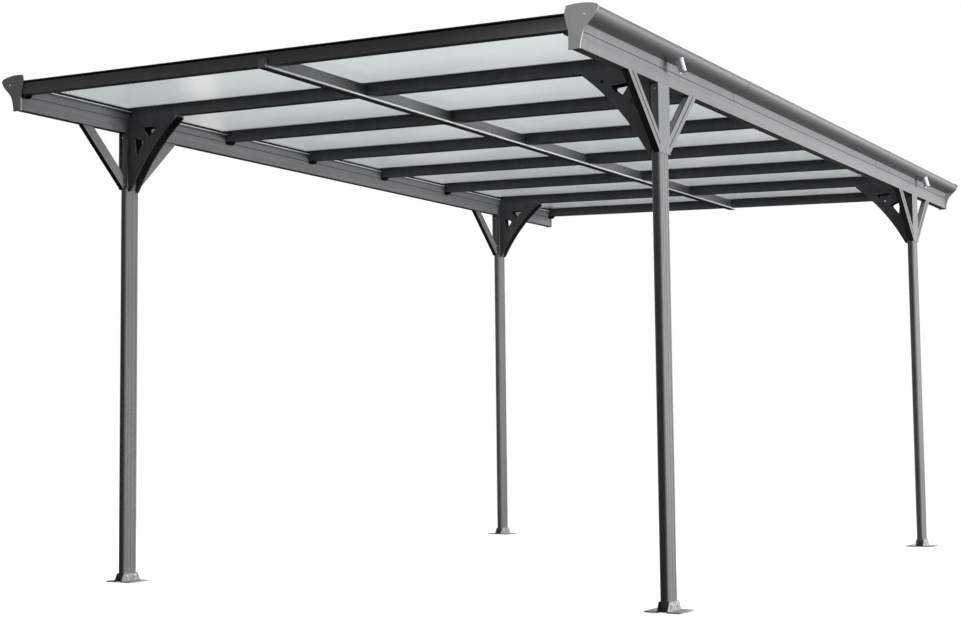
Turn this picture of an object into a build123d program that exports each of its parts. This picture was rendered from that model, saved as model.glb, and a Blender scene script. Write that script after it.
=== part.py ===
from build123d import *
import os
from math import atan2, cos, degrees, radians, sin, sqrt

os.makedirs("parts", exist_ok=True)

# An open aluminium carport: four posts, two gutter beams, eight rafters and a clear sheet roof.
# Millimetres. The origin is on the ground, in the middle of the plan. +X is to the right when
# one stands in front, +Y runs back along the parking bay, +Z is up.

# Layout
bay_count = 7
bay_pitch = 712.0              # from one rafter to the next
post_bay = 1                   # the posts stand this many bays in from each end
post_spacing_across = 2820.0   # centre to centre, left to right
soffit_right = 2055.0          # underside of the right gutter beam, the low side
roof_fall = 104.0              # how much higher the left gutter beam sits
end_play = 0.5                 # between an end rafter and the beam's end cap
trim_margin = 200.0            # cutting blocks reach this far past what they cut

# Posts
post_width = 38.0              # across, along X
post_depth = 90.0              # along Y
post_wall = 2.0
post_corner = 12.0
post_groove_width = 3.0
post_groove_depth = 0.9
post_groove_count = 3          # on each wide face
post_groove_pitch = 24.0

# Feet, two bent steel plates for each post
foot_plate = 4.0
foot_ear = 60.0                # how far the ear reaches out from the post
foot_length = 132.0            # along Y at the ground
foot_rise = 40.0               # height of the upright leaf
foot_corner = 12.0
foot_hole_radius = 5.0
foot_hole_spacing = 90.0       # along Y
foot_hole_inset = 30.0         # from the post's face to the hole's centre
foot_bend = 5.0                # outside radius of the bend

# Gutter beam section, measured outward from the post's centre line and up from the soffit
beam_wall = 2.0
beam_height = 100.0            # the closed box under the channel
slot_height = 64.0             # centre of the long slots in both faces
slot_width = 3.0
slot_depth = 1.1
seat_reach = 8.0               # inner ledge that carries the roof sheets
seat_flange = 10.0
seat_play = 0.6                # under the rafters' top face
channel_radius = 32.0          # outside radius of the rounded channel wall
channel_width = 112.0          # from the box's inner face to the lip
lip_height = 13.0
lip_turn = 8.0
gutter_seam = 1040.0           # the beam's three lengths meet this far from the middle

# End caps of the gutter beams; each place is outward from the post's centre, up from the soffit
cap_thickness = 5.0
cap_overlap = 4.0              # how far the cap stands past the box at its sides and below
cap_shoulder = 60.0            # the inner edge swells above this height
cap_swell = (-30.0, 90.0)
cap_brow = (-37.0, 134.0)
cap_crown_start = (-30.0, 157.0)
cap_crown = (12.0, 160.0)
cap_crown_stop = (88.0, 150.0)
cap_tip = (100.0, 141.0)
cap_cheek = (80.0, 106.0)
cap_cove = (38.0, 60.0)
cap_throat = (30.0, 37.0)

# Rafters
rafter_width = 40.0
rafter_height = 50.0
rafter_wall = 2.0
rafter_top = 120.0             # above the soffit at the gutter's inner face
rafter_notch_play = 0.3
screw_rib_width = 8.0          # the rib that stands up between two roof sheets
screw_rib_height = 8.0

# Centre beam
centre_web = 28.0
centre_flange = 40.0
centre_flange_height = 10.0
centre_wall = 2.5
centre_play = 0.3              # between it and the rafters
plug_width = 38.0              # the plugs that close its ends in front of the end rafters
plug_height = 36.0
plug_thickness = 14.0

# Roof sheets and the bars that hold them down
sheet_thickness = 6.0
sheet_side_gap = 2.0           # between a sheet and the rafter's rib
sheet_overhang = 34.0          # how far a sheet reaches past the gutter seat's inner face
bar_thickness = 4.0

# Knee brackets between post and rafter; each place is inward from the post, up from the soffit
knee_reach = 300.0             # along the rafter
knee_drop = 285.0              # below the soffit
knee_tip = 14.0                # blunt ends of the cheeks
knee_bow = 24.0                # how far the curved edge is drawn in
knee_play = 0.2                # under the rafter
knee_span = 58.0               # over both cheeks
knee_cheek = 6.5               # thickness of one cheek
knee_back_plate = 5.0          # its plate on the post and the gutter beam
knee_back_drop = 268.0
knee_top_plate = 6.0           # its plate under the rafter
knee_window_corner = 7.0
knee_rafter_window = ((90.0, 20.0), (185.0, 14.0), (128.0, -34.0))
knee_post_window = ((38.0, -25.0), (98.0, -52.0), (48.0, -120.0))
knee_hole = (215.0, 37.0)
knee_hole_radius = 5.5

# Side braces between post and gutter beam
brace_reach = 276.0            # from the post's face to the far edge at the soffit
brace_width = 50.0
brace_inside = 5.0             # how far the arms reach inward of the post's centre
brace_groove_width = 9.0       # along the middle of each arm
brace_groove_depth = 2.5
brace_plate_width = 106.0      # the plate that joins both arms on the post's outer face
brace_plate_thickness = 3.0

# Water outlets under the right gutter
outlet_radius = 16.0
outlet_bore = 13.5
outlet_length = 48.0           # the free spigot below its collar
collar_radius = 17.5
collar_height = 4.0            # past the channel wall
outlet_offset = 50.0           # behind each right post's centre
outlet_tilt = 74.0             # downward from level
outlet_play = 0.2              # between the collar and the channel's rounded wall

# Worked out from the values above
half_across = post_spacing_across / 2
soffit_left = soffit_right + roof_fall
grid_places = [(index - bay_count / 2) * bay_pitch for index in range(bay_count + 1)]
post_front = grid_places[post_bay]
post_back = -post_front
gutter_end = grid_places[-1]
end_place = gutter_end - end_play - rafter_width / 2
rafter_places = [-end_place] + grid_places[1:-1] + [end_place]
inner_face = half_across - post_width / 2
seat_face = inner_face - seat_reach
span = 2 * inner_face
slope = roof_fall / span
slope_angle = degrees(atan2(roof_fall, span))
slope_factor = cos(radians(slope_angle))
channel_floor = beam_height - beam_wall
seat_top = rafter_top - seat_play
arc_out = channel_width - post_width / 2 - channel_radius
arc_up = channel_floor + channel_radius
outlet_places = [post_front + outlet_offset, post_back + outlet_offset]
mitre = sqrt(2)                # a 45 degree cut is this much longer than a square one
sides = {"left": -1, "right": 1}
ends = {"front": -1, "back": 1}


def soffit_at(side):
    """Height of the gutter beam's underside on one side."""
    return soffit_left if side < 0 else soffit_right


def roof_line(x):
    """Height of the rafters' top face at one place across the roof."""
    return (soffit_left + soffit_right) / 2 + rafter_top - slope * x


def section_plane(side, y, z):
    """A plane across the parking bay: local X runs outward on that side and local Y up."""
    return Plane(origin=(side * half_across, y, z), x_dir=(side, 0, 0), z_dir=(0, -side, 0))


def along_y(sketch, side, start, stop, z):
    """Extrude a section along the bay from start to stop."""
    plane = section_plane(side, start, z)
    return extrude(plane * sketch, amount=stop - start, dir=(0, 1, 0))


def write(name, shape):
    """Write one piece to its own file."""
    export_step(shape, f"parts/{name}.step")


def post(side, end):
    """A rounded box section with fine grooves down its faces."""
    height = soffit_at(side)
    outline = RectangleRounded(post_width, post_depth, post_corner)
    hollow_corner = post_corner - post_wall
    hollow = RectangleRounded(post_width - 2 * post_wall, post_depth - 2 * post_wall, hollow_corner)
    profile = outline - hollow
    for index in range(post_groove_count):
        place = (index - (post_groove_count - 1) / 2) * post_groove_pitch
        for face in (-1, 1):
            profile -= Pos(face * post_width / 2, place) * Rectangle(2 * post_groove_depth, post_groove_width)
    for face in (-1, 1):
        profile -= Pos(0, face * post_depth / 2) * Rectangle(post_groove_width, 2 * post_groove_depth)
    y = post_front if end < 0 else post_back
    return Pos(side * half_across, y, 0) * extrude(profile, amount=height)


def foot_leaf():
    """One bent plate: an ear on the ground and an upright leaf that narrows to the post."""
    ear = Pos(foot_ear / 2, 0, foot_plate / 2) * Box(foot_ear, foot_length, foot_plate)
    ear = fillet(ear.edges().filter_by(Axis.Z).group_by(Axis.X)[-1], foot_corner)
    for place in (-foot_hole_spacing / 2, foot_hole_spacing / 2):
        ear -= Pos(foot_hole_inset, place, foot_plate / 2) * Cylinder(foot_hole_radius, trim_margin)
    leaf_outline = Polyline(
        (-foot_length / 2, 0),
        (foot_length / 2, 0),
        (post_depth / 2, foot_rise),
        (-post_depth / 2, foot_rise),
        close=True,
    )
    leaf_plane = Plane(origin=(0, 0, 0), x_dir=(0, 1, 0), z_dir=(1, 0, 0))
    leaf = extrude(leaf_plane * make_face(leaf_outline), amount=foot_plate)
    joined = ear + leaf
    bend = joined.edges().filter_by(Axis.Y).sort_by_distance((foot_plate, 0, foot_plate))[0]
    return fillet(bend, foot_bend)


def foot(side, end):
    """Both leaves of one foot, one on each wide face of the post."""
    y = post_front if end < 0 else post_back
    leaf = foot_leaf()
    outer = Pos(post_width / 2, 0, 0) * leaf
    inner = mirror(outer, about=Plane.YZ)
    return Pos(side * half_across, y, 0) * Compound(children=[outer, inner])


def gutter_section():
    """Box below, ledge on the inner side and a rounded rain channel on the outer side."""
    half = post_width / 2
    box = Pos(0, beam_height / 2) * Rectangle(post_width, beam_height)
    box -= Pos(0, beam_height / 2) * Rectangle(post_width - 2 * beam_wall, beam_height - 2 * beam_wall)
    for face in (-1, 1):
        box -= Pos(face * half, slot_height) * Rectangle(2 * slot_depth, slot_width)
    left = -half - seat_reach
    floor = Pos((left + arc_out) / 2, channel_floor + beam_wall / 2) * Rectangle(arc_out - left, beam_wall)
    seat_rise = seat_top - channel_floor
    seat_wall = Pos(left + beam_wall / 2, channel_floor + seat_rise / 2) * Rectangle(beam_wall, seat_rise)
    seat = Pos(left + seat_flange / 2, seat_top - beam_wall / 2) * Rectangle(seat_flange, beam_wall)
    ring = Circle(channel_radius) - Circle(channel_radius - beam_wall)
    quarter = Pos(channel_radius / 2, -channel_radius / 2) * Rectangle(channel_radius, channel_radius)
    wall = Pos(arc_out, arc_up) * (ring & quarter)
    lip_out = arc_out + channel_radius
    lip = Pos(lip_out - beam_wall / 2, arc_up + lip_height / 2) * Rectangle(beam_wall, lip_height)
    turn_up = arc_up + lip_height - beam_wall / 2
    turn = Pos(lip_out - lip_turn / 2, turn_up) * Rectangle(lip_turn, beam_wall)
    return box + floor + seat_wall + seat + wall + lip + turn


def outlet_axis():
    """Direction in which the rain outlets point."""
    tilt = radians(outlet_tilt)
    return Vector(cos(tilt), 0, -sin(tilt))


def outlet_plane(y):
    """A plane square to one outlet, with its origin at the middle of the channel wall's curve."""
    return Plane(origin=(half_across + arc_out, y, soffit_right + arc_up), x_dir=(0, 1, 0), z_dir=outlet_axis())


def gutter(side, start, stop):
    """One length of a gutter beam, with a hole for each rain outlet on the low side."""
    beam = along_y(gutter_section(), side, start, stop, soffit_at(side))
    for y in outlet_places:
        if side > 0 and start < y < stop:
            beam -= extrude(outlet_plane(y) * Circle(outlet_bore), amount=trim_margin)
    return beam


def cap_outline():
    """Outline of an end cap: up the swelling inner edge, over the crown, down the cheek and cove."""
    edge_out = post_width / 2 + cap_overlap
    shoulder = (-edge_out, cap_shoulder)
    bottom_outer = (edge_out, -cap_overlap)
    brow = Spline(shoulder, cap_swell, cap_brow, cap_crown_start)
    crown = ThreePointArc(cap_crown_start, cap_crown, cap_crown_stop)
    nose = Line(cap_crown_stop, cap_tip)
    cove = Spline(cap_tip, cap_cheek, cap_cove, cap_throat, bottom_outer)
    base = Polyline(bottom_outer, (-edge_out, -cap_overlap), shoulder)
    return make_face([brow, crown, nose, cove, base])


def end_cap(side, end):
    """A flat plate that closes the gutter beam's end."""
    inside = end * gutter_end
    outside = end * (gutter_end + cap_thickness)
    start = min(inside, outside)
    return along_y(cap_outline(), side, start, start + cap_thickness, soffit_at(side))


def roof_plane(x, y, lift):
    """A plane across a rafter: local X runs along the bay, local Y square to the roof."""
    run = Vector(cos(radians(slope_angle)), 0, -sin(radians(slope_angle)))
    return Plane(origin=(x, y, roof_line(x) + lift), x_dir=(0, 1, 0), z_dir=run)


def rafter_section():
    """A box section with a screw rib on top."""
    box = Pos(0, -rafter_height / 2) * Rectangle(rafter_width, rafter_height)
    inner_width = rafter_width - 2 * rafter_wall
    inner_height = rafter_height - 2 * rafter_wall
    box -= Pos(0, -rafter_height / 2) * Rectangle(inner_width, inner_height)
    return box + Pos(0, screw_rib_height / 2) * Rectangle(screw_rib_width, screw_rib_height)


def slab_between(x_low, x_high, y):
    """An upright block that takes in a rafter between two places across the roof."""
    middle = (x_low + x_high) / 2
    tall = rafter_height + 2 * trim_margin
    return Pos(middle, y, roof_line(middle)) * Box(x_high - x_low, 2 * rafter_width, tall)


def rafter(y):
    """One rafter notched over the gutter ledges, and parted where the centre beam passes it."""
    blank = post_spacing_across + trim_margin
    bar = extrude(roof_plane(0, y, 0) * rafter_section(), amount=blank / 2, both=True)
    bar &= slab_between(-inner_face, inner_face, y)
    notch_reach = seat_reach + rafter_notch_play
    for side in sides.values():
        notch_x = side * (inner_face - notch_reach / 2)
        notch_bottom = soffit_at(side) + channel_floor - rafter_notch_play
        notch = Box(notch_reach, 2 * rafter_width, trim_margin)
        bar -= Pos(notch_x, y, notch_bottom + trim_margin / 2) * notch
    if abs(y) < end_place:
        bar -= slab_between(-centre_web / 2, centre_web / 2, y)
    return Compound(children=bar.solids())


def centre_top():
    """Height of the centre beam's top, just under the lower edge of the roof line."""
    return roof_line(0) - slope * centre_flange / 2 - centre_play


def centre_piece(profile, start, stop):
    """Extrude a profile drawn below the centre beam's top from start to stop along the bay."""
    plane = Plane(origin=(0, start, centre_top()), x_dir=(1, 0, 0), z_dir=(0, -1, 0))
    return extrude(plane * profile, amount=stop - start, dir=(0, 1, 0))


def centre_beam():
    """A box that the rafter halves butt against, on a wider foot that runs under the end rafters."""
    web = Pos(0, -rafter_height / 2) * Rectangle(centre_web, rafter_height)
    web -= Pos(0, -rafter_height / 2) * Rectangle(centre_web - 2 * centre_wall, rafter_height - 2 * centre_wall)
    flange = Pos(0, -rafter_height - centre_flange_height / 2) * Rectangle(centre_flange, centre_flange_height)
    web_reach = end_place - rafter_width / 2
    foot_reach = end_place + rafter_width / 2 + centre_play
    return centre_piece(web, -web_reach, web_reach) + centre_piece(flange, -foot_reach, foot_reach)


def beam_plugs():
    """The two plugs that close the centre beam's ends."""
    bottom = -rafter_height - centre_flange_height
    profile = Pos(0, bottom + plug_height / 2) * Rectangle(plug_width, plug_height)
    start = end_place + rafter_width / 2 + centre_play
    front = centre_piece(profile, -start - plug_thickness, -start)
    return Compound(children=[front, mirror(front, about=Plane.XZ)])


def roof_sheet(y_front, y_back):
    """One clear sheet, from gutter to gutter, between two rafter ribs."""
    clear = screw_rib_width / 2 + sheet_side_gap
    reach = seat_face + sheet_overhang
    length = 2 * reach / slope_factor
    plane = roof_plane(0, (y_front + y_back) / 2, 0)
    width = y_back - y_front - 2 * clear
    profile = Pos(0, sheet_thickness / 2) * Rectangle(width, sheet_thickness)
    return extrude(plane * profile, amount=length / 2, both=True)


def hold_down_bars():
    """The bars on top that clamp neighbouring sheets, one over each rafter."""
    reach = seat_face + sheet_overhang
    length = 2 * reach / slope_factor
    bars = []
    for y in rafter_places:
        profile = Pos(0, screw_rib_height + bar_thickness / 2) * Rectangle(rafter_width, bar_thickness)
        bars.append(extrude(roof_plane(0, y, 0) * profile, amount=length / 2, both=True))
    return Compound(children=bars)


def knee_heights(side):
    """Height of the bracket's top at the post and at its tip, following the rafter."""
    at_post = rafter_top - rafter_height / slope_factor - knee_play
    return at_post, at_post + side * slope * knee_reach


def knee_outline(side):
    """Outline of one cheek: along the rafter, down the post and back along a drawn-in arc."""
    half = post_width / 2
    top_post, top_tip = knee_heights(side)
    start = Vector(-half - knee_tip, -knee_drop)
    stop = Vector(-half - knee_reach, top_tip - knee_tip)
    corner = (-half, -knee_drop)
    post_side = Polyline((stop.X, stop.Y), (stop.X, top_tip), (-half, top_post), corner, (start.X, start.Y))
    inward = Vector(-(stop - start).Y, (stop - start).X).normalized()
    bow = (start + stop) / 2 - inward * knee_bow
    edge = ThreePointArc((start.X, start.Y), (bow.X, bow.Y), (stop.X, stop.Y))
    return make_face([post_side, edge])


def knee_window(places):
    """A window in a cheek, with rounded corners."""
    half = post_width / 2
    corners = [(-half - inward, up) for inward, up in places]
    window = make_face(Polyline(*corners, close=True))
    return fillet(window.vertices(), knee_window_corner)


def knee(side, end):
    """An open moulding: two windowed cheeks joined by a plate on the post and one under the rafter."""
    y = post_front if end < 0 else post_back
    z = soffit_at(side)
    half = post_width / 2
    top_post, top_tip = knee_heights(side)
    cheek = knee_outline(side) - knee_window(knee_rafter_window) - knee_window(knee_post_window)
    cheek -= Pos(-half - knee_hole[0], knee_hole[1]) * Circle(knee_hole_radius)
    outer = knee_span / 2
    front = along_y(cheek, side, y - outer, y - outer + knee_cheek, z)
    back = along_y(cheek, side, y + outer - knee_cheek, y + outer, z)
    plate_rise = top_post + knee_back_drop
    plate_middle = top_post - plate_rise / 2
    plate = Pos(-half - knee_back_plate / 2, plate_middle) * Rectangle(knee_back_plate, plate_rise)
    roof_side = Polyline(
        (-half, top_post),
        (-half - knee_reach, top_tip),
        (-half - knee_reach, top_tip - knee_top_plate),
        (-half, top_post - knee_top_plate),
        close=True,
    )
    back_plate = along_y(plate, side, y - post_depth / 2, y + post_depth / 2, z)
    top_plate = along_y(make_face(roof_side), side, y - outer, y + outer, z)
    return front + back + back_plate + top_plate


def brace_band(far, near):
    """Two bands at 45 degrees, one each way from the post's narrow faces up to the soffit."""
    face = post_depth / 2
    band = make_face(Polyline((face + far, 0), (face + near, 0), (face, -near), (face, -far), close=True))
    return band + mirror(band, about=Plane.YZ)


def brace_pair(side, end):
    """Two grooved side braces, mitred to the gutter beam, on one plate on the post's outer face."""
    y = post_front if end < 0 else post_back
    plane = Plane(origin=(side * half_across, y, soffit_at(side)), x_dir=(0, side, 0), z_dir=(side, 0, 0))
    plate_in = post_width / 2
    outside = plate_in + brace_plate_thickness
    inner = brace_reach - brace_width * mitre
    arms = extrude(plane.offset(-brace_inside) * brace_band(brace_reach, inner), amount=outside + brace_inside)
    profile = Pos(0, -brace_reach / 2) * Rectangle(brace_plate_width, brace_reach)
    plate = extrude(plane.offset(plate_in) * profile, amount=brace_plate_thickness)
    middle = (brace_reach + inner) / 2
    spread = brace_groove_width * mitre / 2
    groove_face = plane.offset(outside - brace_groove_depth) * brace_band(middle + spread, middle - spread)
    return arms + plate - extrude(groove_face, amount=brace_groove_depth)


def outlets():
    """Two short spigots, each with a collar under the channel, that let rain out of the right gutter."""
    pipes = []
    clear = channel_radius + outlet_play
    corner = Pos(-clear / 2, -clear / 2) * Rectangle(clear, clear)
    channel = Pos(arc_out, arc_up) * (Circle(clear) + corner)
    for y in outlet_places:
        plane = outlet_plane(y)
        collar_face = channel_radius + collar_height
        whole = collar_face + outlet_length
        tube = extrude(plane * Circle(outlet_radius), amount=whole)
        tube += extrude(plane * Circle(collar_radius), amount=collar_face)
        tube -= extrude(plane * Circle(outlet_bore), amount=whole)
        tube -= along_y(channel, 1, y - 2 * collar_radius, y + 2 * collar_radius, soffit_right)
        pipes.append(tube)
    return Compound(children=pipes)


def build_all():
    """Build every piece and write it under its own name."""
    for side_name, side in sides.items():
        for end_name, end in ends.items():
            corner = f"{end_name}_{side_name}"
            write(f"post_{corner}", post(side, end))
            write(f"foot_{corner}", foot(side, end))
            write(f"end_cap_{corner}", end_cap(side, end))
            write(f"knee_bracket_{corner}", knee(side, end))
            write(f"side_braces_{corner}", brace_pair(side, end))
        lengths = {
            "front": (-gutter_end, -gutter_seam),
            "middle": (-gutter_seam, gutter_seam),
            "back": (gutter_seam, gutter_end),
        }
        for part_name, (start, stop) in lengths.items():
            write(f"gutter_{side_name}_{part_name}", gutter(side, start, stop))
    for index, y in enumerate(rafter_places):
        write(f"rafter_{index + 1}", rafter(y))
    for index in range(bay_count):
        write(f"roof_sheet_{index + 1}", roof_sheet(rafter_places[index], rafter_places[index + 1]))
    write("centre_beam", centre_beam())
    write("beam_plugs", beam_plugs())
    write("hold_down_bars", hold_down_bars())
    write("gutter_outlets", outlets())


build_all()
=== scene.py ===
# %% [markdown]
# This lesson dresses an open aluminium carport: four grooved posts, two gutter beams, eight
# rafters and a roof of clear sheets. The solids come from the CAD model and stay where they
# are. We give them finishes, and add the small things that a fitter would screw on.

# %% Load the CAD frame and keep its box
import math
import bmesh
import bpy
from mathutils import Matrix, Vector


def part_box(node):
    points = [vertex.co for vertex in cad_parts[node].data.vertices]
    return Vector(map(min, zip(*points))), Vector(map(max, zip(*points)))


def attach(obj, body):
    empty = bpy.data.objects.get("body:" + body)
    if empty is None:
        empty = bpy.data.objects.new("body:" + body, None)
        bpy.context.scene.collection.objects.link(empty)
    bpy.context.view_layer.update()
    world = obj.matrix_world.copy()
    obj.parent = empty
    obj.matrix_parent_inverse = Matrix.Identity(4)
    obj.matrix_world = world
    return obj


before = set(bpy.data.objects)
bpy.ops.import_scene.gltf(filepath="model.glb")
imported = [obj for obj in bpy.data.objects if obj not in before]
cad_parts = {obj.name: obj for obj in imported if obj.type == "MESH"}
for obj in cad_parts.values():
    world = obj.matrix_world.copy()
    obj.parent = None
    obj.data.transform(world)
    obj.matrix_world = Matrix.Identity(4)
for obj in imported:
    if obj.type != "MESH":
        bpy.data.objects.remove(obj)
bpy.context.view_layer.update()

# %% [markdown]
# Most places on the carport are worked out from the boxes of the CAD nodes, so that the dressing
# follows when a length in the CAD model changes. Small offsets within a section are plain numbers
# with a name. Side 1 is the right one, with the low gutter, and side -1 the left one. End -1 is
# the front and end 1 the back.

# %% Places read from the frame
sides, ends, faces, arms = (-1, 1), (-1, 1), (-1, 1), (-1, 1)
rafter_top_rise, rafter_tall = 0.120, 0.050


def box_of(name):
    """Lowest and highest corner of a CAD node."""
    low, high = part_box(name)
    return Vector(low), Vector(high)


post_low, post_high = box_of("post_front_right")
back_low, back_high = box_of("post_back_right")
post_x = (post_low.x + post_high.x) / 2
post_y = (back_low.y + back_high.y) / 2
half_post_x = (post_high.x - post_low.x) / 2
half_post_y = (post_high.y - post_low.y) / 2
soffit = {1: post_high.z, -1: box_of("post_front_left")[1].z}
inner_face = post_x - half_post_x
roof_slope = (soffit[-1] - soffit[1]) / (2 * inner_face)
rafter_boxes = [box_of(f"rafter_{number}") for number in range(1, 9)]
rafter_ys = [(low.y + high.y) / 2 for low, high in rafter_boxes]
rafter_half = (rafter_boxes[0][1].y - rafter_boxes[0][0].y) / 2
bays = list(zip(rafter_ys, rafter_ys[1:]))
gutter_end = box_of("gutter_right_back")[1].y
cap_face = box_of("end_cap_back_right")[1].y
seam_ys = [corner.y for corner in box_of("gutter_right_middle")]
print("posts at x", post_x, "y", post_y, "slope", round(roof_slope, 4))

# %% [markdown]
# The roof falls evenly from left to right. One function gives the height of the rafters' top face,
# and another a place on the roof that is lifted straight off it.

# %% Places on the roof
mid_roof_top = (soffit[-1] + soffit[1]) / 2 + rafter_top_rise
roof_normal = Vector((roof_slope, 0, 1)).normalized()
roof_down = Vector((1, 0, -roof_slope)).normalized()


def roof_line(x):
    """Height of the rafters' top face at one place across the roof."""
    return mid_roof_top - roof_slope * x


def on_roof(x, y, lift):
    """A place at a distance off the rafters' top face."""
    return Vector((x, y, roof_line(x))) + roof_normal * lift


print("roof height in the middle", round(mid_roof_top, 4))

# %% [markdown]
# The camera was found by fitting the edges of the posts, beams and rafters to the photograph.
# A camera looks down its own minus Z, so its matrix has the columns right, up and back.

# %% Camera
camera_place = Vector((3.92085, -7.33108, 0.71105))
yaw, pitch, roll = -0.5420, 0.0765, -0.0110
focal_pixels, frame_pixels = 1553.65, 961
flat = math.cos(pitch)
forward = Vector((math.sin(yaw) * flat, math.cos(yaw) * flat, math.sin(pitch)))
level_right = Vector((math.cos(yaw), -math.sin(yaw), 0))
level_up = level_right.cross(forward)
camera_right = level_right * math.cos(roll) + level_up * math.sin(roll)
camera_up = level_up * math.cos(roll) - level_right * math.sin(roll)
camera_data = bpy.data.cameras.new("camera")
camera = bpy.data.objects.new("camera", camera_data)
bpy.context.scene.collection.objects.link(camera)
turn = Matrix((camera_right, camera_up, -forward)).transposed().to_4x4()
turn.translation = camera_place
camera.matrix_world = turn
camera_data.sensor_width = 36.0
camera_data.sensor_fit = "HORIZONTAL"
camera_data.lens = camera_data.sensor_width * focal_pixels / frame_pixels
bpy.context.scene.camera = camera
print("lens", round(camera_data.lens, 2), "mm")

# %% [markdown]
# A shader is a small network. An input of a node takes either a plain value or the output of
# another node, so one helper feeds both kinds. The others start a material or a node group.

# %% Helpers for shader networks
def feed(node, inputs):
    """Give each named input of a node a value, or link the socket that feeds it."""
    for key, value in inputs.items():
        if isinstance(value, bpy.types.NodeSocket):
            node.id_data.links.new(value, node.inputs[key])
        else:
            node.inputs[key].default_value = value


def add_node(tree, kind, inputs=None, **settings):
    """Add a node, set its properties and feed its inputs."""
    node = tree.nodes.new(kind)
    for key, value in settings.items():
        setattr(node, key, value)
    feed(node, inputs or {})
    return node


def new_material(name):
    """A material with an empty tree, its Principled surface and its output."""
    material = bpy.data.materials.new(name)
    material.use_nodes = True
    tree = material.node_tree
    tree.nodes.clear()
    surface = tree.nodes.new("ShaderNodeBsdfPrincipled")
    add_node(tree, "ShaderNodeOutputMaterial", {"Surface": surface.outputs["BSDF"]})
    return material, tree, surface


def new_group(name, inputs, outputs):
    """A node group with named inputs (name, kind, value) and outputs (name, kind)."""
    tree = bpy.data.node_groups.new(name, "ShaderNodeTree")
    for label, kind, value in inputs:
        socket = tree.interface.new_socket(label, in_out="INPUT", socket_type="NodeSocket" + kind)
        socket.default_value = value
    for label, kind in outputs:
        tree.interface.new_socket(label, in_out="OUTPUT", socket_type="NodeSocket" + kind)
    return tree, tree.nodes.new("NodeGroupInput"), tree.nodes.new("NodeGroupOutput")


print("shader helpers ready")

# %% [markdown]
# Most nodes here do one of eight small jobs. Each job is a function that returns an output socket,
# so a network reads like a formula.

# %% Helpers that return a socket
def object_place(tree):
    """The part's own coordinates, in metres."""
    return add_node(tree, "ShaderNodeTexCoord").outputs["Object"]


def maths(tree, operation, *inputs, **settings):
    """A sum on numbers or sockets."""
    inputs = dict(enumerate(inputs))
    return add_node(tree, "ShaderNodeMath", inputs, operation=operation, **settings).outputs[0]


def stretched(tree, place, scales):
    """Coordinates multiplied by one scale for each axis."""
    inputs = {0: place, 1: scales}
    return add_node(tree, "ShaderNodeVectorMath", inputs, operation="MULTIPLY").outputs[0]


def along(tree, place, direction):
    """How far a place lies along a direction."""
    inputs = {0: place, 1: direction}
    node = add_node(tree, "ShaderNodeVectorMath", inputs, operation="DOT_PRODUCT")
    return node.outputs["Value"]


def scaled(tree, colour, gain):
    """A colour, or coordinates, multiplied by one gain."""
    inputs = {0: colour, "Scale": gain}
    return add_node(tree, "ShaderNodeVectorMath", inputs, operation="SCALE").outputs[0]


def noise(tree, place, scale, detail, roughness=0.5):
    """A soft noise of about 0.3 to 0.7."""
    inputs = {"Vector": place, "Scale": scale, "Detail": detail, "Roughness": roughness}
    return add_node(tree, "ShaderNodeTexNoise", inputs).outputs["Fac"]


def ranged(tree, value, start, stop, low=0.0, high=1.0, **settings):
    """A value taken from start..stop to low..high and held there."""
    inputs = {"Value": value, "From Min": start, "From Max": stop, "To Min": low, "To Max": high}
    return add_node(tree, "ShaderNodeMapRange", inputs, clamp=True, **settings).outputs["Result"]


def bumped(tree, height, strength, distance, **under):
    """A normal that follows a height, on top of another normal if one is given."""
    inputs = {"Height": height, "Strength": strength, "Distance": distance, **under}
    return add_node(tree, "ShaderNodeBump", inputs).outputs["Normal"]


print("socket helpers ready")

# %% [markdown]
# Powder coat is melted paint powder. It has a fine orange-peel skin, a faint speckle, and soft
# patches where the film is thicker. One group makes all three for every coated part.

# %% Powder coat group
def shade_by(tree, colour, factor, amount):
    """Multiply a colour by 1 + (factor - 0.5) * amount."""
    centred = maths(tree, "SUBTRACT", factor, 0.5)
    return scaled(tree, colour, maths(tree, "MULTIPLY_ADD", centred, amount, 1.0))


coat_group, coat_in, coat_out = new_group(
    "powder_coat",
    [("Colour", "Color", (0.1, 0.1, 0.1, 1)), ("Speckle", "Float", 0.1), ("Patches", "Float", 0.1),
     ("Roughness", "Float", 0.4), ("Patch scale", "Float", 2.4)],
    [("Colour", "Color"), ("Roughness", "Float"), ("Height", "Float")],
)
peel_scale, mottle_scale, gloss_swing = 900.0, 60.0, 0.14
place = object_place(coat_group)
peel = noise(coat_group, place, peel_scale, 3.0)
cloud = noise(coat_group, place, coat_in.outputs["Patch scale"], 4.0, 0.6)
mottle = noise(coat_group, place, mottle_scale, 2.0)
speckled = shade_by(coat_group, coat_in.outputs["Colour"], peel, coat_in.outputs["Speckle"])
patched = shade_by(coat_group, speckled, cloud, coat_in.outputs["Patches"])
gloss = maths(coat_group, "MULTIPLY_ADD", mottle, gloss_swing, -gloss_swing / 2)
gloss = maths(coat_group, "ADD", gloss, coat_in.outputs["Roughness"], use_clamp=True)
feed(coat_out, {"Colour": patched, "Roughness": gloss, "Height": peel})
print("powder_coat group:", len(coat_group.nodes), "nodes")
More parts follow.
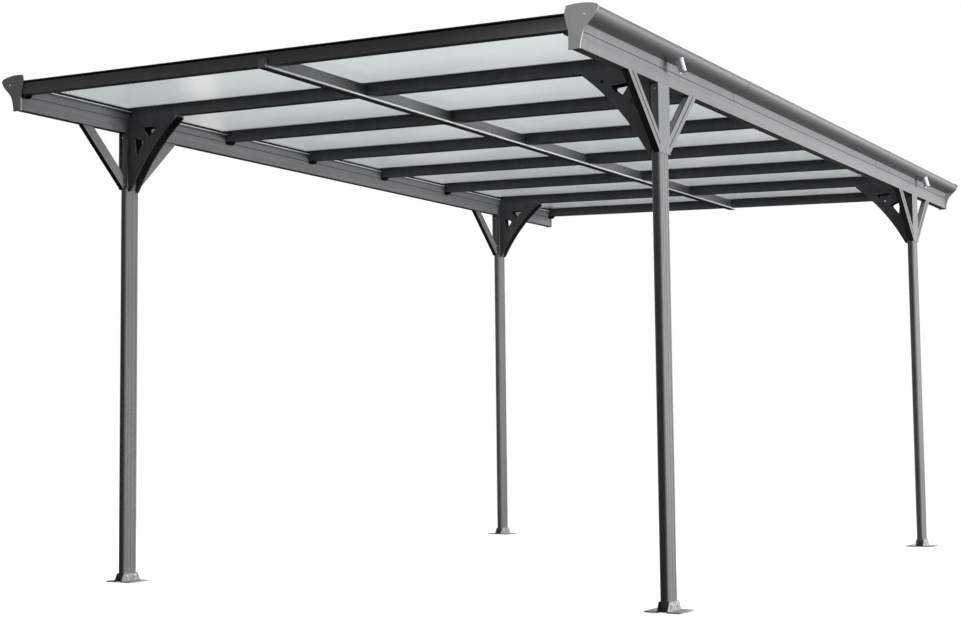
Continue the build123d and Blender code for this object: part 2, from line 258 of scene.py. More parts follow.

# %% [markdown]
# Outdoor dust settles on faces that look up, and rain draws it down in thin runs. Faces that look
# down get a painted shade, darker the more they face down. The group reads how far the surface
# faces up, and a noise that is stretched upright.

# %% Dust, rain-run and painted under-shade group
dust_shade_group, dust_shade_in, dust_shade_out = new_group(
    "dust_runs_and_under_shade",
    [("Colour", "Color", (0.1, 0.1, 0.1, 1)), ("Dust", "Color", (0.3, 0.29, 0.27, 1)),
     ("On top", "Float", 0.3), ("Runs", "Float", 0.1), ("Under shade", "Float", 0.6)],
    [("Colour", "Color")],
)
drift_scale, run_stretch, run_edges = 9.0, (45.0, 45.0, 1.1), (0.52, 0.75)
top_facing, under_facing = (0.35, 1.0), (-0.08, -0.75)
shape = add_node(dust_shade_group, "ShaderNodeNewGeometry")
facing = add_node(dust_shade_group, "ShaderNodeSeparateXYZ", {0: shape.outputs["Normal"]})
upward = ranged(dust_shade_group, facing.outputs["Z"], *top_facing)
drift = noise(dust_shade_group, shape.outputs["Position"], drift_scale, 6.0, 0.65)
top_dust = maths(dust_shade_group, "MULTIPLY", upward, drift)
top_dust = maths(dust_shade_group, "MULTIPLY", top_dust, dust_shade_in.outputs["On top"])
run_place = stretched(dust_shade_group, shape.outputs["Position"], run_stretch)
run_dust = ranged(dust_shade_group, noise(dust_shade_group, run_place, 1.0, 3.0), *run_edges)
run_dust = maths(dust_shade_group, "MULTIPLY", run_dust, dust_shade_in.outputs["Runs"])
dust_mask = maths(dust_shade_group, "ADD", top_dust, run_dust, use_clamp=True)
colour_a, colour_b, colour_result = 6, 7, 2
dusted = add_node(
    dust_shade_group, "ShaderNodeMix",
    {"Factor": dust_mask, colour_a: dust_shade_in.outputs["Colour"], colour_b: dust_shade_in.outputs["Dust"]},
    data_type="RGBA",
).outputs[colour_result]
# Painted shade: faces that look down are darkened by the under share.
downward = ranged(dust_shade_group, facing.outputs["Z"], *under_facing)
under_shade_mask = maths(dust_shade_group, "MULTIPLY", downward, dust_shade_in.outputs["Under shade"])
under_shaded = scaled(dust_shade_group, dusted, maths(dust_shade_group, "SUBTRACT", 1.0, under_shade_mask))
feed(dust_shade_out, {"Colour": under_shaded})
print("dust_runs_and_under_shade group:", len(dust_shade_group.nodes), "nodes")

# %% [markdown]
# Extruded aluminium keeps faint lines from the die along its length, under the paint, and the
# paint itself dries in long lighter and darker streaks. Beams run along Y, rafters along X and
# posts along Z, so the group stretches its two noises by three scales.

# %% Die-line group
die_group, die_in, die_out = new_group(
    "die_lines",
    [("Stretch", "Vector", (400.0, 1.0, 400.0)), ("Streaks", "Float", 0.5)],
    [("Height", "Float"), ("Gain", "Float")],
)
streak_width = 0.26
die_place = stretched(die_group, object_place(die_group), die_in.outputs["Stretch"])
die_noise = noise(die_group, die_place, 1.0, 2.0)
streak_noise = noise(die_group, scaled(die_group, die_place, streak_width), 1.0, 3.0, 0.7)
streak = maths(die_group, "SUBTRACT", streak_noise, 0.5)
streak_gain = maths(die_group, "MULTIPLY_ADD", streak, die_in.outputs["Streaks"], 1.0)
feed(die_out, {"Height": die_noise, "Gain": streak_gain})
print("die_lines group:", len(die_group.nodes), "nodes")

# %% [markdown]
# A coated surface joins the three groups. Painted shade can be laid over it by a function of its
# own: down a rafter's sides it darkens the top, under the sheets, and in each bay of the centre
# beam a painted shadow is densest just in front of the next rafter.

# %% Coated surfaces and painted shade
skin_strength, line_strength, line_height, paint_specular = 0.35, 0.5, 0.00012, 0.22
shade_below_top, shade_side_gains = 0.006, (1.5, 0.45)
shadow_bay_edges, shadow_bay_gains = (0.35, 0.97), (1.0, 0.35)


# The under share is painted shade on faces that look down.
def coated(name, colour, stretch_by, roughness=0.36, speckle=0.5, patches=0.35, patch_scale=2.4,
           dust=0.35, runs=0.10, under=0.8, streaks=0.7, peel_height=0.00005, painted_shade=None):
    """Powder coat: skin, speckle, top dust, painted shade below, die lines under the paint."""
    material, tree, surface = new_material(name)
    coat = add_node(tree, "ShaderNodeGroup", {
        "Colour": colour, "Speckle": speckle, "Patches": patches, "Roughness": roughness,
        "Patch scale": patch_scale}, node_tree=coat_group)
    dirt_and_shade = add_node(tree, "ShaderNodeGroup", {
        "Colour": coat.outputs["Colour"], "On top": dust, "Runs": runs, "Under shade": under},
        node_tree=dust_shade_group)
    tone = dirt_and_shade.outputs["Colour"]
    # Painted shade or painted shadow, when a function for it is given.
    if painted_shade:
        tone = painted_shade(tree, tone)
    normal = bumped(tree, coat.outputs["Height"], skin_strength, peel_height)
    if stretch_by:
        die = add_node(tree, "ShaderNodeGroup", {"Stretch": stretch_by, "Streaks": streaks},
                       node_tree=die_group)
        tone = scaled(tree, tone, die.outputs["Gain"])
        normal = bumped(tree, die.outputs["Height"], line_strength, line_height, Normal=normal)
    feed(surface, {"Base Color": tone, "Roughness": coat.outputs["Roughness"], "Normal": normal,
                   "Specular IOR Level": paint_specular})
    return material


def shade_under_sheets(tree, colour):
    """Painted shade: darkest at the top of a rafter's sides, under the sheets."""
    height = along(tree, object_place(tree), (roof_slope, 0.0, 1.0))
    bottom, top = mid_roof_top - rafter_tall, mid_roof_top - shade_below_top
    return scaled(tree, colour, ranged(tree, height, bottom, top, *shade_side_gains))


def shadow_before_rafters(tree, colour):
    """Painted shadow: darker through each bay of the centre beam, up to the next rafter."""
    axes = add_node(tree, "ShaderNodeSeparateXYZ", {0: object_place(tree)})
    bay_pitch = (rafter_ys[-1] - rafter_ys[0]) / len(bays)
    bay = maths(tree, "MULTIPLY_ADD", axes.outputs["Y"], 1 / bay_pitch, -rafter_ys[0] / bay_pitch)
    share = maths(tree, "FRACT", bay)
    gain = ranged(tree, share, *shadow_bay_edges, *shadow_bay_gains, interpolation_type="SMOOTHSTEP")
    return scaled(tree, colour, gain)


print("coated surfaces ready")

# %% [markdown]
# The frame's paint is a satin anthracite. The rafters take a darker copy of it, painted shade for
# the shade under the sheets, and the hold-down bars share that copy. The versions differ in the
# direction of the die lines. The front rafter catches more daylight, so its copy is paler, as
# painted light. A low specular level keeps the faces that look at the viewer deep and dark.

# %% Painted frame materials
frame_colour = (0.158, 0.160, 0.164, 1)
# Painted shade: the rafters' copy of the paint is darker for the shade under the sheets.
shaded_rafter_colour = (0.066, 0.068, 0.072, 1)
# Painted light: the front rafter's copy is paler for the daylight it catches.
lit_front_rafter_colour = (0.118, 0.119, 0.121, 1)
along_x, along_y, along_z = (1.2, 420.0, 420.0), (420.0, 1.2, 420.0), (420.0, 420.0, 1.2)
gutter_paint = coated("frame_paint_along_bay", frame_colour, along_y, under=0.5)
shaded_rafter_paint = coated("shaded_rafter_paint", shaded_rafter_colour, along_x, painted_shade=shade_under_sheets)
lit_front_paint = coated("front_rafter_lit_paint", lit_front_rafter_colour, along_x, painted_shade=shade_under_sheets)
bar_paint = coated("bar_paint", shaded_rafter_colour, along_x)
beam_paint = coated("centre_beam_paint", frame_colour, along_y, painted_shade=shadow_before_rafters)
post_paint = coated("frame_paint_upright", frame_colour, along_z)
brace_paint = coated("frame_paint_bent", frame_colour, None)
print("frame paints: 7")

# %% [markdown]
# The beam caps are moulded and a lighter grey than the frame. The brackets are a darker matt
# moulding with a leather-like grain. The feet are hot-dipped steel, pale and blotchy, so their
# speckle and patches are the strongest of all. Rubber is nearly black, and it also makes the
# strips of painted shade. Trim is bare metal, and it also makes the strips of painted highlight.

# %% Cap, bracket, foot, outlet and trim materials
cap_material = coated("end_cap_grey", (0.56, 0.565, 0.57, 1), None, roughness=0.42, speckle=0.25,
                      patches=0.2, dust=0.2, runs=0.15)
bracket_material = coated("bracket_black", (0.092, 0.093, 0.096, 1), None, roughness=0.5,
                          speckle=0.3, patches=0.3, dust=0.25, runs=0.05, peel_height=0.00009)
foot_material = coated("foot_steel_coat", (0.27, 0.27, 0.274, 1), None, roughness=0.45,
                       speckle=0.9, patches=2.6, patch_scale=62.0, dust=0.35, runs=0.2)
outlet_material = coated("outlet_pale", (0.72, 0.73, 0.74, 1), None, roughness=0.25,
                         speckle=0.08, patches=0.1, dust=0.2, runs=0.2)
rubber_and_shade_material = coated("gasket_rubber_and_shade_lines", (0.018, 0.018, 0.018, 1), None, roughness=0.7,
                         speckle=0.4, patches=0.2, dust=0.15, runs=0.0)
plug_material = coated("beam_plug_grey", (0.40, 0.405, 0.41, 1), None, roughness=0.5,
                       speckle=0.2, patches=0.2, dust=0.1, runs=0.1)
trim_and_highlight_material = coated("mill_finish_trim_and_highlights", (0.62, 0.63, 0.64, 1), along_y, roughness=0.3,
                       speckle=0.15, patches=0.3, dust=0.15, runs=0.0)
print("other coats: 7")

# %% [markdown]
# Screws and bolts are bright zinc. Zinc is a metal under a milky passivation, so its colour sits
# half in the reflection and half in the coat.

# %% Zinc
zinc_material, tree, surface = new_material("zinc_bright")
spangle_scale, zinc_roughness = 700.0, (0.22, 0.42)
spangle = noise(tree, object_place(tree), spangle_scale, 3.0)
zinc_tone = add_node(tree, "ShaderNodeValToRGB", {"Fac": spangle})
zinc_tone.color_ramp.elements[0].color = (0.62, 0.63, 0.65, 1)
zinc_tone.color_ramp.elements[1].color = (0.82, 0.82, 0.83, 1)
feed(surface, {"Base Color": zinc_tone.outputs["Color"], "Metallic": 0.55,
               "Roughness": ranged(tree, spangle, 0.0, 1.0, *zinc_roughness)})
print("zinc ready")

# %% [markdown]
# A clear roof sheet is a thin hollow board: two skins with ribs between them that run down the
# slope. Light passes, so the sky shows through with a cool grey tint. The board has little body,
# so a low index keeps it from mirroring the ground at the flat angle from which people see it.
# The ribs are a fine bump. Broad soft streaks of brighter tint lie askew across the roof as
# painted reflections.

# %% Roof sheet material
rib_pitch, reflection_direction, reflection_reach = 0.010, (0.775, 0.632, 0.0), 3.0
haze_stretch, haze_low, haze_high = (0.7, 2.2, 1.0), 0.95, 1.05
base_tint, soft_reflection_tint, reflection_tint = (0.78, 0.835, 0.85, 1), (0.86, 0.90, 0.91, 1), (1, 1, 1, 1)
# The white and pale stops are painted reflections, the rest the sheet's own cool tint.
reflection_stops = (
    (-3.0, base_tint), (-1.98, base_tint), (-1.84, reflection_tint), (-1.73, base_tint),
    (-0.9, base_tint), (-0.55, soft_reflection_tint), (-0.2, base_tint), (0.75, base_tint), (0.9, soft_reflection_tint),
    (1.1, base_tint), (1.95, base_tint), (2.1, soft_reflection_tint), (2.3, base_tint),
)
sheet_material, tree, surface = new_material("roof_sheet_clear")
place = object_place(tree)
axes = add_node(tree, "ShaderNodeSeparateXYZ", {0: place})
rib_angle = maths(tree, "MULTIPLY", axes.outputs["Y"], 2 * math.pi / rib_pitch)
rib_wave = maths(tree, "COSINE", rib_angle)
askew = ranged(tree, along(tree, place, reflection_direction), -reflection_reach, reflection_reach)
tint_and_reflections = add_node(tree, "ShaderNodeValToRGB", {"Fac": askew})
ramp = tint_and_reflections.color_ramp
ramp.interpolation = "EASE"
for number, (reflection_place, tint) in enumerate(reflection_stops):
    on_ramp = (reflection_place + reflection_reach) / (2 * reflection_reach)
    stop = ramp.elements[0] if number == 0 else ramp.elements.new(on_ramp)
    stop.position, stop.color = on_ramp, tint
ramp.elements[-1].color = base_tint
haze = noise(tree, stretched(tree, place, haze_stretch), 1.0, 3.0)
haze_gain = ranged(tree, haze, 0.3, 0.7, haze_low, haze_high)
feed(surface, {"Base Color": scaled(tree, tint_and_reflections.outputs["Color"], haze_gain),
               "Normal": bumped(tree, rib_wave, 0.1, 0.0002),
               "Roughness": 0.16, "IOR": 1.1, "Transmission Weight": 1.0})
print("sheet finish ready,", len(reflection_stops), "stops")

# %% [markdown]
# CAD nodes keep their shape. We only put the right finish in their material slot, by the
# direction each profile was drawn through its die. The first prefix that fits a name counts.

# %% Put finishes on the CAD nodes
finish_by_prefix = (
    ("post_", post_paint), ("foot_", foot_material), ("gutter_left", gutter_paint),
    ("gutter_right", gutter_paint), ("gutter_outlets", outlet_material),
    ("end_cap", cap_material), ("rafter_1", lit_front_paint), ("rafter_", shaded_rafter_paint),
    ("centre_beam", beam_paint), ("beam_plugs", plug_material), ("roof_sheet", sheet_material),
    ("hold_down", bar_paint), ("knee_bracket", bracket_material), ("side_braces", brace_paint),
)
for node_name, node_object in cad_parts.items():
    chosen = [finish for prefix, finish in finish_by_prefix if node_name.startswith(prefix)]
    node_object.data.materials.clear()
    node_object.data.materials.append(chosen[0])
print("finished", len(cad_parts), "nodes")

# %% [markdown]
# New pieces are built from bmesh code. A turned part is a short profile of radius and height that
# is swept round an axis. A drawn part is a flat outline that is pushed along a line.

# %% Mesh helpers
smooth_angle = math.radians(35)


def finish_piece(name, bm, material):
    """Turn a bmesh into a piece that rides on the carport."""
    bmesh.ops.recalc_face_normals(bm, faces=bm.faces)
    mesh = bpy.data.meshes.new(name)
    bm.to_mesh(mesh)
    bm.free()
    mesh.materials.append(material)
    mesh.shade_smooth()
    mesh.set_sharp_from_angle(angle=smooth_angle)
    piece = bpy.data.objects.new(name, mesh)
    bpy.context.scene.collection.objects.link(piece)
    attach(piece, "root")


def turned(bm, profile, centre, axis, segments=20):
    """Sweep (radius, height) points round an axis through a centre."""
    axis = Vector(axis).normalized()
    side = axis.orthogonal().normalized()
    other = axis.cross(side)
    rings = []
    for radius, height in profile:
        ring = []
        for step in range(segments):
            angle = 2 * math.pi * step / segments
            spoke = side * math.cos(angle) + other * math.sin(angle)
            ring.append(bm.verts.new(Vector(centre) + spoke * radius + axis * height))
        rings.append(ring)
    for lower, upper in zip(rings, rings[1:]):
        for step in range(segments):
            after = (step + 1) % segments
            bm.faces.new((lower[step], lower[after], upper[after], upper[step]))
    bm.faces.new(rings[-1])
    bm.faces.new(list(reversed(rings[0])))


def drawn(bm, outline, origin, right, up, path):
    """Push a closed outline of (right, up) points along a path vector."""
    origin, right, up, path = Vector(origin), Vector(right), Vector(up), Vector(path)
    near = [bm.verts.new(origin + right * a + up * b) for a, b in outline]
    far = [bm.verts.new(origin + right * a + up * b + path) for a, b in outline]
    count = len(outline)
    for step in range(count):
        after = (step + 1) % count
        bm.faces.new((near[step], near[after], far[after], far[step]))
    bm.faces.new(list(reversed(near)))
    bm.faces.new(far)


print("mesh helpers ready")

# %% [markdown]
# Two kinds of fastener are used: a pan-head screw with a recess for the driver, and a hexagon
# head on a round washer.

# %% Fasteners
def pan_profile(radius):
    """A pan-head screw with a turned-in drive recess, as (radius, height) points."""
    tall = radius * 0.62
    return [(radius, 0.0), (radius, tall * 0.35), (radius * 0.86, tall * 0.8),
            (radius * 0.6, tall), (radius * 0.34, tall), (radius * 0.28, tall * 0.45),
            (0.0002, tall * 0.4)]


def hex_bolt(bm, centre, axis, across=0.013, tall=0.0055, washer=0.011):
    """A hexagon head on a round washer."""
    washer_edge, washer_thick = 0.0012, 0.0016
    axis = Vector(axis).normalized()
    disc = [(washer, 0.0), (washer, washer_edge), (washer * 0.94, washer_thick)]
    turned(bm, disc, centre, axis, 28)
    corner = across / math.sqrt(3)
    head = [(corner, 0.0), (corner, tall * 0.85), (corner * 0.86, tall)]
    turned(bm, head, Vector(centre) + axis * washer_thick, axis, 6)


print("fasteners ready")

# %% [markdown]
# Each beam cap is held by one bright pan-head screw, high on the plate behind the rain channel.

# %% Cap screws
cap_screw_out, cap_screw_up, cap_screw_radius = 0.044, 0.116, 0.0055
bm = bmesh.new()
for side in sides:
    for end in ends:
        spot = (side * (post_x + cap_screw_out), end * cap_face, soffit[side] + cap_screw_up)
        turned(bm, pan_profile(cap_screw_radius), spot, (0, end, 0))
finish_piece("cap_screws", bm, zinc_material)
print("cap screws: 4")

# %% [markdown]
# Each foot has two bolts through each upright leaf into the post. They are the bright glints low
# on the wide faces in the photograph.

# %% Foot bolts
leaf_thick, foot_bolt_apart, foot_bolt_rise = 0.004, 0.026, 0.56
foot_top = box_of("foot_front_right")[1].z
bm = bmesh.new()
for side in sides:
    for end in ends:
        for face in faces:
            for shift in (-foot_bolt_apart, foot_bolt_apart):
                x = side * post_x + face * (half_post_x + leaf_thick)
                spot = (x, end * post_y + shift, foot_top * foot_bolt_rise)
                hex_bolt(bm, spot, (face, 0, 0))
finish_piece("foot_bolts", bm, zinc_material)
print("foot bolts: 16")

# %% [markdown]
# A screw goes through each hold-down bar every 380 mm, with a rubber washer under its head.

# %% Bar screws and washers
bar_lift, bar_washer_tall, bar_screw_radius = 0.012, 0.002, 0.006
bar_washer = [(0.0085, 0.0), (0.0085, 0.0014), (0.007, bar_washer_tall)]
first_bar_screw, bar_screw_pitch = -1.33, 0.38
bar_screw_xs = [first_bar_screw + bar_screw_pitch * step for step in range(8)]
screws = bmesh.new()
washers = bmesh.new()
for y in rafter_ys:
    for x in bar_screw_xs:
        base = on_roof(x, y, bar_lift)
        turned(washers, bar_washer, base, roof_normal, 16)
        head = base + roof_normal * bar_washer_tall
        turned(screws, pan_profile(bar_screw_radius), head, roof_normal, 14)
finish_piece("bar_screw_washers", washers, rubber_and_shade_material)
finish_piece("bar_screws", screws, zinc_material)
print("bar screws:", len(bar_screw_xs) * len(rafter_ys))

# %% [markdown]
# The extruded beams carry small marks that are thinner than a millimetre: two fine dark lines of
# painted shade near the top of the rain channel's lip, a dark strip of painted shade in each long
# slot, and a pale strip of painted highlight on the centre beam's foot. They run the whole length,
# so a narrow closed outline pushed along Y is all they need.

# %% Strips along the bay
def strip(bm, x, z, wide, tall, y_start, y_stop):
    """A slim bar along Y with cut corners, centred on x and z."""
    a, b, c = wide / 2, tall / 2, min(wide, tall) * 0.25
    outline = [(-a, -b + c), (-a + c, -b), (a - c, -b), (a, -b + c),
               (a, b - c), (a - c, b), (-a + c, b), (-a, b - c)]
    drawn(bm, outline, (x, y_start, z), (1, 0, 0), (0, 0, 1), (0, y_stop - y_start, 0))


lip_high = box_of("gutter_right_middle")[1]
lip_out = lip_high.x - post_x
lip_top = lip_high.z - soffit[1]
# Painted shade: two dark strips for the shade lines near the top of the lip.
lip_line_drops, lip_line_size = (0.0030, 0.0085), (0.0010, 0.0014)
bm = bmesh.new()
for side in sides:
    for down in lip_line_drops:
        x, z = side * (post_x + lip_out), soffit[side] + lip_top - down
        strip(bm, x, z, *lip_line_size, -gutter_end, gutter_end)
finish_piece("lip_shade_lines", bm, rubber_and_shade_material)
# Painted shade: a dark strip in each slot for the shade inside it.
slot_up, shade_strip_depth, shade_strip_size = 0.064, 0.0007, (0.0008, 0.0028)
bm = bmesh.new()
for side in sides:
    for face in faces:
        x = side * post_x + face * (half_post_x - shade_strip_depth)
        strip(bm, x, soffit[side] + slot_up, *shade_strip_size, -gutter_end, gutter_end)
finish_piece("slot_shade_strips", bm, rubber_and_shade_material)
beam_low, beam_high = box_of("centre_beam")
# Painted highlight: a pale strip where the edge of the beam's foot meets the light.
edge_proud, edge_up, edge_size, edge_inset = 0.0003, 0.0058, (0.0008, 0.008), 0.002
bm = bmesh.new()
for side in sides:
    x, z = side * (beam_high.x + edge_proud), beam_low.z + edge_up
    strip(bm, x, z, *edge_size, beam_low.y + edge_inset, beam_high.y - edge_inset)
finish_piece("centre_beam_highlight_edges", bm, trim_and_highlight_material)
print("lip lines: 4, slot shade strips: 4, beam edges: 2")

# %% [markdown]
# Where two lengths of a gutter beam meet, a fitter leaves a hair-wide joint and seals it. The
# seal follows the outside of the section: from the slot up, under the channel, round its curve.

# %% Joint seals of the gutter beams
def gutter_contour(steps=10):
    """Points (outward, up) round the outside of the section, from the long slot to the lip."""
    curve = lip_top - lip_straight - channel_floor_up
    arc_out = lip_out - curve
    points = [(half_post_x, slot_up), (half_post_x, channel_floor_up), (arc_out, channel_floor_up)]
    for step in range(1, steps + 1):
        angle = math.radians(90 * step / steps)
        points.append((arc_out + curve * math.sin(angle),
                       channel_floor_up + curve * (1 - math.cos(angle))))
    points.append((lip_out, lip_top))
    return points


def contour_ribbon(bm, side, y, wide, proud):
    """A thin seal round the section, built as one quad strip with its two edges closed."""
    points = gutter_contour()
    front, back = y - wide / 2, y + wide / 2
    rails = []
    for y_edge, lift in ((front, 0.0), (front, proud), (back, proud), (back, 0.0)):
        rail = []
        for number, (out, up) in enumerate(points):
            before = Vector(points[max(number - 1, 0)])
            after = Vector(points[min(number + 1, len(points) - 1)])
            onward = (after - before).normalized()
            place = Vector((out, up)) + Vector((onward.y, -onward.x)) * lift
            rail.append(bm.verts.new((side * (post_x + place.x), y_edge, soffit[side] + place.y)))
        rails.append(rail)
    rails.append(rails[0])
    for lower, upper in zip(rails, rails[1:]):
        for number in range(len(points) - 1):
            bm.faces.new((lower[number], lower[number + 1], upper[number + 1], upper[number]))
    for number in (0, -1):
        bm.faces.new([rail[number] for rail in rails[:4]])


channel_floor_up, lip_straight = 0.098, 0.013
joint_seal_wide, joint_seal_proud = 0.0022, 0.0004
bm = bmesh.new()
for side in sides:
    for y in seam_ys:
        contour_ribbon(bm, side, y, joint_seal_wide, joint_seal_proud)
finish_piece("gutter_joint_seals", bm, rubber_and_shade_material)
print("joint seals: 4")

# %% [markdown]
# Under each sheet's edge the gutter's ledge holds a black lip seal. Below it a pale strip is a
# painted highlight on the ledge, and under that a thin dark strip is a painted shade line. They
# run from rafter to rafter, so each bay gets its own length. Each row below gives a strip's depth
# in the ledge, its height, its width and its height again as a size.

# %% Ledge seals, painted highlights and painted shade lines
ledge_face = inner_face - 0.008
clear_of_rafter = rafter_half + 0.0015
bm_seal_and_shade = bmesh.new()
bm_highlight = bmesh.new()
# Rows: the lip seal, a pale painted highlight, and a dark painted shade line.
ledge_strips = (
    (bm_seal_and_shade, 0.0012, 0.1138, 0.0024, 0.0110),
    (bm_highlight, 0.0010, 0.1055, 0.0020, 0.0050),
    (bm_seal_and_shade, 0.0003, 0.1015, 0.0008, 0.0020),
)
for side in sides:
    for y_front, y_back in bays:
        for bm, depth, up, wide, tall in ledge_strips:
            strip(bm, side * (ledge_face - depth), soffit[side] + up, wide, tall,
                  y_front + clear_of_rafter, y_back - clear_of_rafter)
finish_piece("ledge_seals_and_shade_lines", bm_seal_and_shade, rubber_and_shade_material)
finish_piece("ledge_highlight_strips", bm_highlight, trim_and_highlight_material)
print("ledge seals, highlight strips and dark lines:", 2 * len(bays), "each")

# %% [markdown]
# Each rafter end sits on a black moulded saddle that hooks on the beam just under the ledge. The
# rafters over the posts have the big brackets instead.

# %% Rafter saddles
deep, tall, lead, half_wide = 0.034, 0.016, 0.008, 0.016
saddle_outline = [(0.0, 0.0), (deep, 0.0), (deep, -tall * 0.35), (deep - lead, -tall * 0.8),
                  (deep - lead * 1.5, -tall), (0.0, -tall)]
rafter_under, post_clearance = 0.0697, 0.05
bm = bmesh.new()
for side in sides:
    for y in rafter_ys:
        if abs(abs(y) - post_y) < post_clearance:
            continue
        corner = (side * inner_face, y - half_wide, soffit[side] + rafter_under)
        drawn(bm, saddle_outline, corner, (-side, 0, 0), (0, 0, 1), (0, 2 * half_wide, 0))
finish_piece("rafter_saddles", bm, rubber_and_shade_material)
print("rafter saddles: 12")

# %% [markdown]
# The side braces are channels with an open upper face. A thin pale strip on the upper face of each
# arm is a painted highlight, for the sky that the channel catches.

# %% Brace highlight strips
brace_low, brace_high = box_of("side_braces_front_right")
brace_wide, foot_gap, head_gap = 0.050, 0.016, 0.010
arm_drop = brace_high.z - brace_low.z - brace_wide * math.sqrt(2)
arm_mid = (brace_low.x + brace_high.x) / 2
highlight_outline = [(-0.0085, 0.0), (0.0085, 0.0), (0.0078, 0.0007), (-0.0078, 0.0007)]
arm_start = Vector((0, half_post_y + foot_gap, foot_gap - arm_drop))
arm_stop = Vector((0, half_post_y + arm_drop - head_gap, -head_gap))
bm = bmesh.new()
for side in sides:
    for end in ends:
        for arm in arms:
            base = Vector((side * arm_mid, end * post_y, soffit[side]))
            start = base + Vector((0, arm * arm_start.y, arm_start.z))
            path = Vector((0, arm * (arm_stop.y - arm_start.y), arm_stop.z - arm_start.z))
            off = Vector((0, -arm, 1)).normalized()
            drawn(bm, highlight_outline, start, (1, 0, 0), off, path)
finish_piece("brace_highlight_strips", bm, trim_and_highlight_material)
print("brace highlight strips: 8")

# %% [markdown]
# Screws hold each brace's foot through its inner side, and one more closes the post's head. They
# are small bright dots in the photograph.

# %% Brace and post screws
brace_screw_drops, brace_screw_inset, brace_screw_radius = (0.213, 0.253), 0.003, 0.0062
head_screw_out, head_screw_drop, head_screw_radius = 0.004, 0.022, 0.0040
bm = bmesh.new()
for side in sides:
    for end in ends:
        for arm in arms:
            for down in brace_screw_drops:
                y = end * post_y + arm * (half_post_y - brace_screw_inset)
                spot = (side * brace_low.x, y, soffit[side] - down)
                turned(bm, pan_profile(brace_screw_radius), spot, (-side, 0, 0), 16)
            spot = (side * (post_x + head_screw_out), end * post_y + arm * half_post_y,
                    soffit[side] - head_screw_drop)
            turned(bm, pan_profile(head_screw_radius), spot, (0, arm, 0), 16)
finish_piece("brace_screws", bm, zinc_material)
print("brace and post screws: 24")

# %% [markdown]
# Two bolts go up through each knee bracket into the rafter. Their heads hang inside the
# bracket, where its upper window shows them. Three smaller ones hold its back plate to the post.

# %% Knee bracket bolts
roof_bolt_inwards, top_plate = (0.108, 0.148), 0.0063
post_bolt_drops, back_plate = (0.060, 0.150, 0.225), 0.005
bm = bmesh.new()
for side in sides:
    for end in ends:
        for inward in roof_bolt_inwards:
            x = side * (inner_face - inward)
            under = roof_line(x) - rafter_tall - top_plate
            hex_bolt(bm, (x, end * post_y, under), (0, 0, -1))
        for down in post_bolt_drops:
            spot = (side * (inner_face - back_plate), end * post_y, soffit[side] - down)
            hex_bolt(bm, spot, (-side, 0, 0), across=0.010, tall=0.0045, washer=0.0085)
finish_piece("knee_bolts", bm, zinc_material)
print("knee bolts: 20")

# %% [markdown]
# On top, each clamping bar presses on two rubber ropes, and a slim profile closes the open end of
# every sheet so that nothing crawls into its hollows.

# %% Bar gaskets and sheet end profiles
sheet_reach = box_of("roof_sheet_2")[1].x - 0.001
gasket_apart, gasket_lift, gasket_wide, gasket_tall = 0.0155, 0.0068, 0.0022, 0.0014
rope = [(gasket_wide * math.cos(step * math.pi / 4), gasket_tall * math.sin(step * math.pi / 4))
        for step in range(8)]
across_roof = roof_down * (2 * sheet_reach * math.sqrt(1 + roof_slope ** 2))
bm = bmesh.new()
for y in rafter_ys:
    for shift in (-gasket_apart, gasket_apart):
        start = on_roof(-sheet_reach, y + shift, gasket_lift)
        drawn(bm, rope, start, (0, 1, 0), roof_normal, across_roof)
finish_piece("bar_gaskets", bm, rubber_and_shade_material)
end_profile_back = 0.006
end_profile = [(-0.006, 0.0062), (-0.006, 0.0072), (0.0066, 0.0072), (0.0066, -0.001),
               (0.0058, -0.001), (0.0058, 0.0062)]
bm = bmesh.new()
for side in sides:
    outline = [(side * a, b) for a, b in end_profile]
    for y_front, y_back in bays:
        start = on_roof(side * (sheet_reach - end_profile_back), y_front + clear_of_rafter, 0.0)
        length = y_back - y_front - 2 * clear_of_rafter
        drawn(bm, outline, start, roof_down, roof_normal, (0, length, 0))
finish_piece("sheet_end_profiles", bm, trim_and_highlight_material)
print("gaskets: 16, end profiles: 14")

# %% [markdown]
# A white floor and sky belong to the backdrop only: the shader asks what kind of ray it meets.
# The camera and the clear sheets see them white, but the floor sends little light back, because
# the undersides in the photograph are nearly black. Near the carport the floor keeps a shadow, and
# further out it fades to plain white.

# %% Floor
def seen_through(tree, ray, names):
    """1 for a ray of one of the named kinds, and 0 for the others."""
    seen = ray.outputs[names[0]]
    for name in names[1:]:
        seen = maths(tree, "MAXIMUM", seen, ray.outputs[name])
    return seen


def mixed(tree, share, first, second):
    """Two shaders mixed by the share of the second."""
    inputs = {0: share, 1: first.outputs[0], 2: second.outputs[0]}
    return add_node(tree, "ShaderNodeMixShader", inputs)


floor_radius, floor_drop = 60.0, 0.001
fade_start, fade_stop = 2.6, 5.0
floor_mesh = bpy.data.meshes.new("floor")
bm = bmesh.new()
bmesh.ops.create_circle(bm, cap_ends=True, radius=floor_radius, segments=96)
bm.to_mesh(floor_mesh)
bm.free()
floor = bpy.data.objects.new("floor", floor_mesh)
floor.location.z = -floor_drop
bpy.context.scene.collection.objects.link(floor)
floor_material = bpy.data.materials.new("floor_pale")
floor_material.use_nodes = True
tree = floor_material.node_tree
tree.nodes.clear()
ray = add_node(tree, "ShaderNodeLightPath")
seen = seen_through(tree, ray, ("Is Camera Ray", "Is Transmission Ray"))
pale = add_node(tree, "ShaderNodeBsdfDiffuse", {"Color": (0.62, 0.62, 0.62, 1)})
glow = add_node(tree, "ShaderNodeEmission", {"Color": (1, 1, 1, 1), "Strength": 0.62})
near = add_node(tree, "ShaderNodeAddShader", {0: pale.outputs[0], 1: glow.outputs[0]})
shape = add_node(tree, "ShaderNodeNewGeometry")
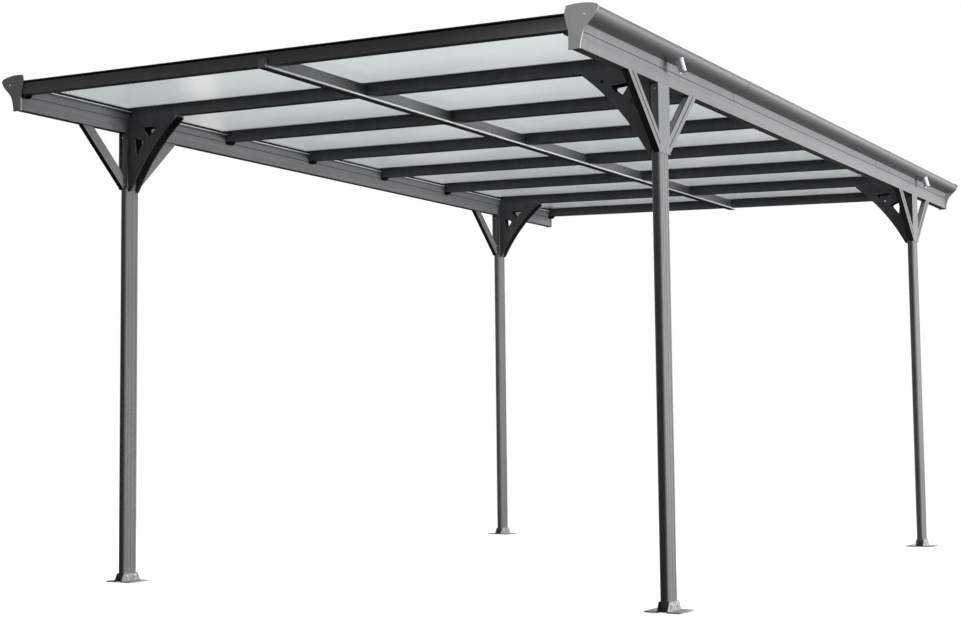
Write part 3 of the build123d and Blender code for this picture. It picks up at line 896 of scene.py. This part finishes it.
from_middle = add_node(tree, "ShaderNodeVectorMath", {0: shape.outputs["Position"]},
                       operation="LENGTH")
fade = ranged(tree, from_middle.outputs["Value"], fade_start, fade_stop)
white = add_node(tree, "ShaderNodeEmission", {"Color": (1, 1, 1, 1), "Strength": 1.0})
pale_floor = mixed(tree, fade, near, white)
dark = add_node(tree, "ShaderNodeBsdfDiffuse", {"Color": (0.05, 0.05, 0.05, 1)})
pick = mixed(tree, seen, dark, pale_floor)
add_node(tree, "ShaderNodeOutputMaterial", {"Surface": pick.outputs[0]})
floor_mesh.materials.append(floor_material)
print("floor ready")

# %% [markdown]
# The world is white for the camera, for reflections and through the sheets. For all other light
# it is a weak, slightly cool fill.

# %% World
world = bpy.data.worlds.new("studio")
bpy.context.scene.world = world
world.use_nodes = True
tree = world.node_tree
tree.nodes.clear()
ray = add_node(tree, "ShaderNodeLightPath")
seen = seen_through(tree, ray, ("Is Camera Ray", "Is Glossy Ray", "Is Transmission Ray"))
white = add_node(tree, "ShaderNodeBackground", {"Color": (1, 1, 1, 1), "Strength": 1.0})
fill = add_node(tree, "ShaderNodeBackground", {"Color": (0.97, 0.98, 1, 1), "Strength": 0.14})
pick = mixed(tree, seen, fill, white)
add_node(tree, "ShaderNodeOutputWorld", {"Surface": pick.outputs[0]})
bpy.context.scene.view_settings.view_transform = "Standard"
print("world ready")

# %% [markdown]
# The main lamp is a wide soft panel on the right. It stands low, so that its light passes under
# the right gutter and reaches the inside of the left one. It stands a little to the back and is
# aimed at the front, so faces that look at the viewer stay dark and the long beam is lit evenly.
# A small narrow panel lifts the near beam cap. Two weaker panels light the left side and the
# back, which the photograph doesn't show. No panel shows in a reflection or through the sheets.

# %% Lamps
def soft_panel(name, place, target, width, height, power):
    """A rectangular area lamp that looks at a target."""
    lamp = bpy.data.lights.new(name, "AREA")
    lamp.shape = "RECTANGLE"
    lamp.size, lamp.size_y, lamp.energy = width, height, power
    holder = bpy.data.objects.new(name, lamp)
    bpy.context.scene.collection.objects.link(holder)
    holder.location = place
    looks = Vector(target) - Vector(place)
    holder.rotation_euler = looks.to_track_quat("-Z", "Y").to_euler()
    holder.visible_camera = False
    holder.visible_transmission = False
    holder.visible_glossy = False
    return holder


soft_panel("panel_right", (8.8, 1.4, 1.3), (1.0, -5.5, 1.6), 5.5, 1.9, 1500)
cap_panel = soft_panel("panel_cap", (3.6, -5.6, 2.5), (1.44, -2.5, 2.17), 0.35, 0.35, 0.39)
cap_panel.data.spread = math.radians(14)
soft_panel("panel_left", (-9.0, 1.0, 4.5), (0.0, 0.0, 1.0), 6.0, 3.5, 700)
soft_panel("panel_back", (1.0, 10.0, 4.5), (0.0, 0.0, 1.0), 6.0, 3.5, 700)
print("lamps: 4")
